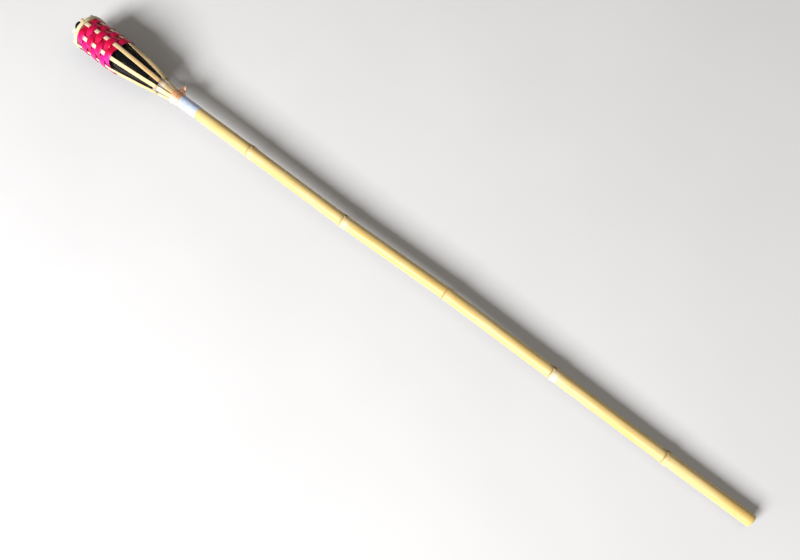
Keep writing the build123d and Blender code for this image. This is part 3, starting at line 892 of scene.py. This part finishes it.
def build_tie():
    """A split strip wound three times round the root, then knotted, with its two cut ends standing out."""
    low, high = node_box("split_tie")
    ring_r = CULM_TOP_R + 0.5
    tie_skin = bamboo_skin("tie_strip", (0.88, 0.50, 0.30), (0.76, 0.32, 0.16), (0.45, 0.14, 0.06), 0.4)
    tie_wood = split_bamboo("tie_strip_inner", (0.86, 0.50, 0.32), (0.48, 0.18, 0.09))
    piece = Piece("tie_strip_knotted")

    def strip(spine, width_of, wound=False):
        """Sweeps the strip along (point, outward direction) stations. Wound, it is painted paler on its lit
        side, as painted light.
        """
        rows = []
        length = 0.0
        for number, (point, outward) in enumerate(spine):
            before = spine[max(number - 1, 0)][0]
            after = spine[min(number + 1, len(spine) - 1)][0]
            along = (after - before).normalized()
            outward = (outward - along * outward.dot(along)).normalized()
            across = along.cross(outward)
            length += (point - before).length
            # painted light: the wound turns are marked pale where they face the lit side
            facing = outward.dot(polar(1, LIT_SIDE_AZIMUTH)) if wound else 0.0
            marks = (0, 0.85 * smooth_step((facing - 0.25) / 0.5), 0)
            section = strip_section(width_of(number / (len(spine) - 1)), TIE_THICKNESS, 0.18, spots=5)
            rows.append([
                piece.vertex(point + outward * x + across * y, (y, x, length), marks) for x, y in section
            ])
        piece.sweep(rows, lambda i: 0 if i < 4 else 1, 1)

    turns = []
    for step in range(TIE_STEPS + 1):
        turned_by = TIE_WINDING * step / TIE_STEPS
        layer = 0.7 * smooth_step((turned_by - 350) / 40) + 0.35 * smooth_step((turned_by - 710) / 40)
        z = low.z + 3.1 + (high.z - low.z - 5.7) * smooth_step((turned_by - 180) / 900)
        z += 0.3 * sin(radians(turned_by * 1.3))
        flare = 0.7 * smooth_step((z - 1249.0) / 7.0)
        azimuth = KNOT_AZIMUTH - 20 + turned_by
        turns.append((polar(ring_r + TIE_THICKNESS / 2 + layer + flare, azimuth, z), polar(1, azimuth)))
    strip(turns, lambda t: TIE_WIDTH, wound=True)
    shares = [step / KNOT_STEPS for step in range(KNOT_STEPS + 1)]
    both_ways = [2 * t - 1 for t in shares]

    knot_way = polar(1, KNOT_AZIMUTH)
    knot_side = UP.cross(knot_way)
    knot_r = ring_r + 3 * TIE_THICKNESS + 0.9
    knot_z = (low.z + high.z) / 2 + 3.0
    saddle, crossing = [], []
    for t in both_ways:
        out = knot_r - 1.3 + 2.9 * (1 - abs(t) ** 3)
        point = knot_way * out + knot_side * (1.6 * t) + UP * (knot_z + 8.4 * t)
        saddle.append((point, knot_way * cos(1.2 * t) + UP * sin(1.2 * t)))
        out = knot_r + 0.6 + 2.4 * (1 - t * t)
        point = knot_way * out + knot_side * (5.2 * t) + UP * (knot_z + 2.4 * t)
        crossing.append((point, knot_way * cos(0.9 * t) + knot_side * sin(0.9 * t)))
    strip(saddle, lambda t: 7.4)
    strip(crossing, lambda t: 6.6)
    for side, length, curl in ((1, 12.4, 2.0), (-1, 9.5, -1.2)):
        tail = []
        for t in shares:
            lean = radians(20 - 16 * t) * side
            out = knot_r + 0.4 + length * t * cos(lean)
            z = knot_z + 2.4 * side * (1 - 0.5 * t) + length * t * sin(lean)
            point = knot_way * out + knot_side * (1.3 * side + curl * t * t) + UP * z
            tail.append((point, -knot_side * side + knot_way * 0.25 * t))
        strip(tail, lambda t: 7.6 - 4.0 * smooth_step((t - 0.1) / 0.9))
    piece.finish("torch", ["split_tie"], [tie_skin, tie_wood])


# ---- label ----
LABEL_STEPS = 150
LABEL_LEVELS = 22
LABEL_START = 118.0          # azimuth of its inner end
LABEL_OVERLAP = 26.0
LABEL_THICKNESS = 0.16
LABEL_RAISE = (2.0, 2.5)     # how far its lower and upper edges lie above the CAD band's


def build_label():
    """A film wrapped once round the culm, its outer end lapped over the inner one and lifting a little."""
    low, high = node_box("label_band")
    low_z, high_z = low.z + LABEL_RAISE[0], high.z + LABEL_RAISE[1]
    inner_r = high.x - 0.32
    piece = Piece("label_wrap")
    outer_rows, inner_rows = [], []
    for level in range(LABEL_LEVELS + 1):
        share = level / LABEL_LEVELS
        outer, inner = [], []
        for step in range(LABEL_STEPS + 1):
            turned_by = (360.0 + LABEL_OVERLAP) * step / LABEL_STEPS
            azimuth = LABEL_START + turned_by
            layer = 0.22 * smooth_step((turned_by - 352) / 8)
            lift = 0.25 * smooth_step((turned_by - 360 - LABEL_OVERLAP + 7) / 7)
            edge = 0.10 * (hill(share, 0.04) + hill(1 - share, 0.04))
            wave = 0.07 * rough(azimuth / 18, share * 3, 2) + 0.05 * rough(azimuth / 6, share * 9, 5)
            radius = inner_r + layer + lift + edge + max(wave, -0.03) + 0.03
            z = low_z + (high_z - low_z) * share + 0.3 * rough(azimuth / 60, 3, share)
            skew = 0.4 * (turned_by / 360.0 - 0.5)
            fibre = (radians(azimuth) * inner_r, radius, z)
            outer.append(piece.vertex(polar(radius + LABEL_THICKNESS, azimuth, z + skew), fibre))
            inner.append(piece.vertex(polar(radius, azimuth, z + skew), fibre))
        outer_rows.append(outer)
        inner_rows.append(inner)
    piece.surface(outer_rows, around=False)
    piece.surface(inner_rows, around=False)
    for end in (0, -1):
        piece.surface([outer_rows[end], inner_rows[end]], around=False)
    for end in (0, -1):
        piece.surface([[row[end] for row in rows] for rows in (outer_rows, inner_rows)], around=False)
    piece.finish("torch", ["label_band"], [label_film()])


# ---- fuel can ----
SIDE_SEAM_AZIMUTH = 70.0
CAN_WALL = 0.6
CAN_FOOT_R = 19.25
NECK_R = 10.4
NECK_BORE_R = 8.8
can_paint = painted("can_paint", (0.003, 0.003, 0.0035), (0.009, 0.009, 0.0095), 0.14, 0.70)


def build_can():
    """A drawn shell with a side seam, its tapered base and its top rolled on, and a threaded neck."""
    low, high = node_box("can_shell")
    outer_r, inner_r = high.x, high.x - CAN_WALL
    heights = [low.z + (high.z - low.z) * i / 24 for i in range(25)]
    outline = [(outer_r, z) for z in heights] + [(inner_r, z) for z in reversed(heights)]

    def with_side_seam(radius, azimuth, z):
        if radius < outer_r - 0.1:
            return radius
        away = turn_between(azimuth, SIDE_SEAM_AZIMUTH)
        return radius + 0.16 * hill(away, 2.6) + 0.03 * rough_round(azimuth, 2, z / 25)

    turned("can_wall", outline, 180, "can", "can_shell", can_paint, with_side_seam)

    # partly painted shade: the tapered base reaches low into the cone, so that its near-black paint fills the
    # gaps between the slats where shade falls
    low, high = node_box("can_base")
    seam_r = high.x
    seam_z = node_box("can_shell")[0].z - 2.4
    plug_r = inner_r - 0.1
    taper_z = seam_z - 2.5
    base = [
        (0, low.z + 1.5),
        *beside(CAN_FOOT_R, low.z, (-8.0, 1.5), (-6.6, 2.0), (-3.2, 1.5), (-2.0, 0), (-0.4, 0), (0, 0.5)),
        *beside(outer_r, taper_z, (-1.4, -7.8), (-1.7, -7.0), (-1.1, -6.2), (0, 0)),
        (outer_r, seam_z), (seam_r, seam_z + 0.5), (seam_r, seam_z + 2.2),
        (plug_r, seam_z + 2.3), (plug_r, high.z), (plug_r - 0.8, high.z),
        (outer_r - 1.4, taper_z), (CAN_FOOT_R - 0.8, low.z + 2.6), (0, low.z + 2.3),
    ]
    turned("can_base_seamed", rounded(base, 0.5), 120, "can", "can_base", can_paint)

    low, high = node_box("can_top")
    rim_z = node_box("can_shell")[1].z + 2.4
    thread = [(-0.3 * (turn % 2), -0.6 - 0.8 * turn) for turn in range(6)]
    top = [
        *beside(NECK_BORE_R, high.z, (0, rim_z - 2.6 - high.z), (0, -0.3), (0.3, 0)),
        *beside(NECK_R, high.z, (-0.1, 0), *thread),
        *beside(NECK_R, rim_z, (0, -1.4), (1.2, -1.8)),
        *beside(0, rim_z, (15.5, -1.9), (16.6, -1.5), (20.0, -1.6), (21.2, -2.2)),
        *beside(plug_r, rim_z, (-2.2, -2.6), (-0.9, -0.4), (-0.3, 0)),
        *beside(seam_r, rim_z, (-0.3, 0), (0, -0.6), (0, -2.3)),
        *beside(plug_r, rim_z, (0, -2.3), (0, -3.4), (-1.0, -3.4)),
        (NECK_BORE_R + 1.0, rim_z - 2.65),
    ]
    turned("can_top_seamed", rounded(top, 0.4), 120, "can", "can_top", can_paint)


# ---- burner, wick and snuffer ----
cap_paint = painted("cap_paint", (0.014, 0.014, 0.014), (0.032, 0.031, 0.030), 0.26, 0.66)
CAP_FLUTES = 24
CAP_DISC_Z = 1504.5          # underside of the cap's disc


def build_burner():
    """Screw cap with a fluted grip, its washer, and the wick tube flanged on it with a rolled lip."""
    low, high = node_box("cap_gasket")
    washer = [(NECK_BORE_R, low.z), (NECK_BORE_R, high.z), (NECK_R, high.z), (NECK_R, low.z)]
    turned("gasket_ring", rounded(washer, 0.3), 72, "seal", "cap_gasket", gasket_rubber())

    low, high = node_box("burner_cap")
    cap_r = high.x
    cap = [
        (10.8, low.z), (10.8, CAP_DISC_Z), (6.1, CAP_DISC_Z),
        *beside(0, high.z, (6.1, 0), (8.6, 0), (9.2, -0.25), (10.4, -0.25), (11.0, 0)),
        *beside(cap_r, high.z, (-0.7, 0), (0, -0.8), (0, -1.8), (0, -2.3), (0, -4.0), (0, -6.0)),
        *beside(cap_r, low.z, (0, 1.6), (0, 1.2), (0, 0)),
    ]

    def with_flutes(radius, azimuth, z):
        fluted = smooth_step((high.z - 1.9 - z) / 0.7) * smooth_step((z - low.z - 1.0) / 0.5)
        if radius < cap_r - 0.5:
            return radius
        flute = max(0.0, cos(radians(azimuth * CAP_FLUTES)))
        return radius - 0.55 * fluted * flute ** 0.7

    segments = 10 * CAP_FLUTES
    cap = rounded(cap, 0.3, 2)
    turned("burner_cap_fluted", cap, segments, "burner", "burner_cap", cap_paint, with_flutes)

    low, high = node_box("wick_tube")
    flange_r = high.x
    flange_z = node_box("burner_cap")[1].z + 0.1
    tube = [
        (5.2, low.z),
        *beside(0, high.z, (5.2, -0.3), (5.3, 0), (5.9, 0), (6.15, -0.5), (6.0, -1.1)),
        *beside(0, flange_z, (6.0, 1.2), (6.6, 0.8), (flange_r, 0.6), (flange_r, 0), (6.0, 0)),
        (6.0, low.z),
    ]
    brass = metal("tube_brass", (0.80, 0.58, 0.26), (0.42, 0.26, 0.10), 0.22)
    turned("wick_tube_rolled", rounded(tube, 0.25), 72, "burner", "wick_tube", brass)


WICK_STRANDS = 8             # in each of the braid's two directions
WICK_PITCH = 24.0
WICK_SEGMENTS = 80
WICK_STEP = 0.65


def build_wick():
    """A braid of strands that cross over and under, frayed and sooty at its top."""
    low, high = node_box("wick")
    top_r = high.x
    piece = Piece("wick_braided")
    heights = [low.z + WICK_STEP * i for i in range(int((high.z - low.z) / WICK_STEP))]
    profile = [(0.0, low.z), (0.6, low.z)] + [(1.0, z) for z in heights[1:]]
    profile += [(0.93, high.z - 0.35), (0.7, high.z - 0.12), (0.35, high.z - 0.03), (0.0, high.z)]
    rows = []
    for share, z in profile:
        slant = pi * WICK_STRANDS * z / WICK_PITCH
        soot = smooth_step((z - high.z + 7) / 6)
        damp = smooth_step((z - high.z + 22) / 16)
        row = []
        for i in range(WICK_SEGMENTS):
            azimuth = 360.0 * i / WICK_SEGMENTS
            lay_a = cos(radians(WICK_STRANDS * azimuth) + slant)
            lay_b = cos(radians(WICK_STRANDS * azimuth) - slant)
            radius = share * (top_r - 0.42 + 0.40 * max(lay_a, lay_b, 0.0) ** 0.6)
            fuzz = 0.10 * rough(azimuth * 3, z * 3, 1) if share < 1 else 0.0
            along = azimuth * 0.1 * (1 if lay_a > lay_b else -1) + z
            point = polar(radius, azimuth, z + fuzz)
            row.append(piece.vertex(point, (along, azimuth * 0.15, z), (0.92 * soot, 0.8 * damp, 0)))
        rows.append(row)
    piece.surface(rows)
    piece.finish("wick", ["wick"], [wick_braid()])


def build_snuffer():
    """A small domed cap with a flared foot and a groove round its wall."""
    low, high = node_box("snuffer_cap")
    foot_r = high.x
    wall_r = foot_r - 0.8
    bore_r = wall_r - 0.8
    outline = [
        *beside(0, high.z, (0, -0.8), (4.0, -0.85), (bore_r - 1.0, -1.3), (bore_r, -2.2)),
        *beside(bore_r, low.z, (0, 0.3), (0.3, 0)),
        *beside(foot_r, low.z, (-0.2, 0), (0, 0.5), (-0.2, 1.1)),
        *beside(wall_r, low.z, (0, 1.6), (0, 7.0), (-0.35, 7.4), (-0.35, 8.0), (0, 8.4)),
        *beside(wall_r, high.z, (0, -2.6), (-0.5, -1.2), (-1.8, -0.45)),
        (5.0, high.z - 0.1), (0, high.z),
    ]
    turned("snuffer_shell", rounded(outline, 0.35), 96, "snuffer", "snuffer_cap", cap_paint)


# ---- floor ----
def build_floor():
    """A sheet that touches the culm's lower end and the widest strip of the basket."""
    data = bpy.data.meshes.new("floor")
    half = FLOOR_SIZE / 2
    outwards = polar(1, FLOOR_AZIMUTH)
    floor_normal = (outwards + UP * FLOOR_SLOPE).normalized()
    across = UP.cross(floor_normal).normalized()
    along = floor_normal.cross(across)
    centre = -outwards * (CULM_BUTT_R * MM + FLOOR_GAP)
    corners = [centre + across * half * x + along * half * y for x, y in ((-1, -1), (1, -1), (1, 1), (-1, 1))]
    data.from_pydata([tuple(corner) for corner in corners], [], [(0, 1, 2, 3)])
    data.materials.append(floor_material())
    floor = placed("floor", data)
    if data.polygons[0].normal.dot(floor_normal) < 0:
        data.flip_normals()
    floor.visible_shadow = False     # the back light reaches the torch's far side through it


add_camera()
set_world()
for lamp in LAMPS:
    add_light(*lamp)
build_floor()
build_culm()
for index in range(SLAT_COUNT):
    build_slat(index)
for row_index in range(WEFT_COUNT):
    build_weft(row_index)
build_hoop("rim_band_outer", "rim_hoop_outer", 96.0, True)
build_hoop("rim_band_inner", "rim_hoop_inner", 140.0, False)
build_brads()
build_tie()
build_label()
build_can()
build_burner()
build_wick()
build_snuffer()
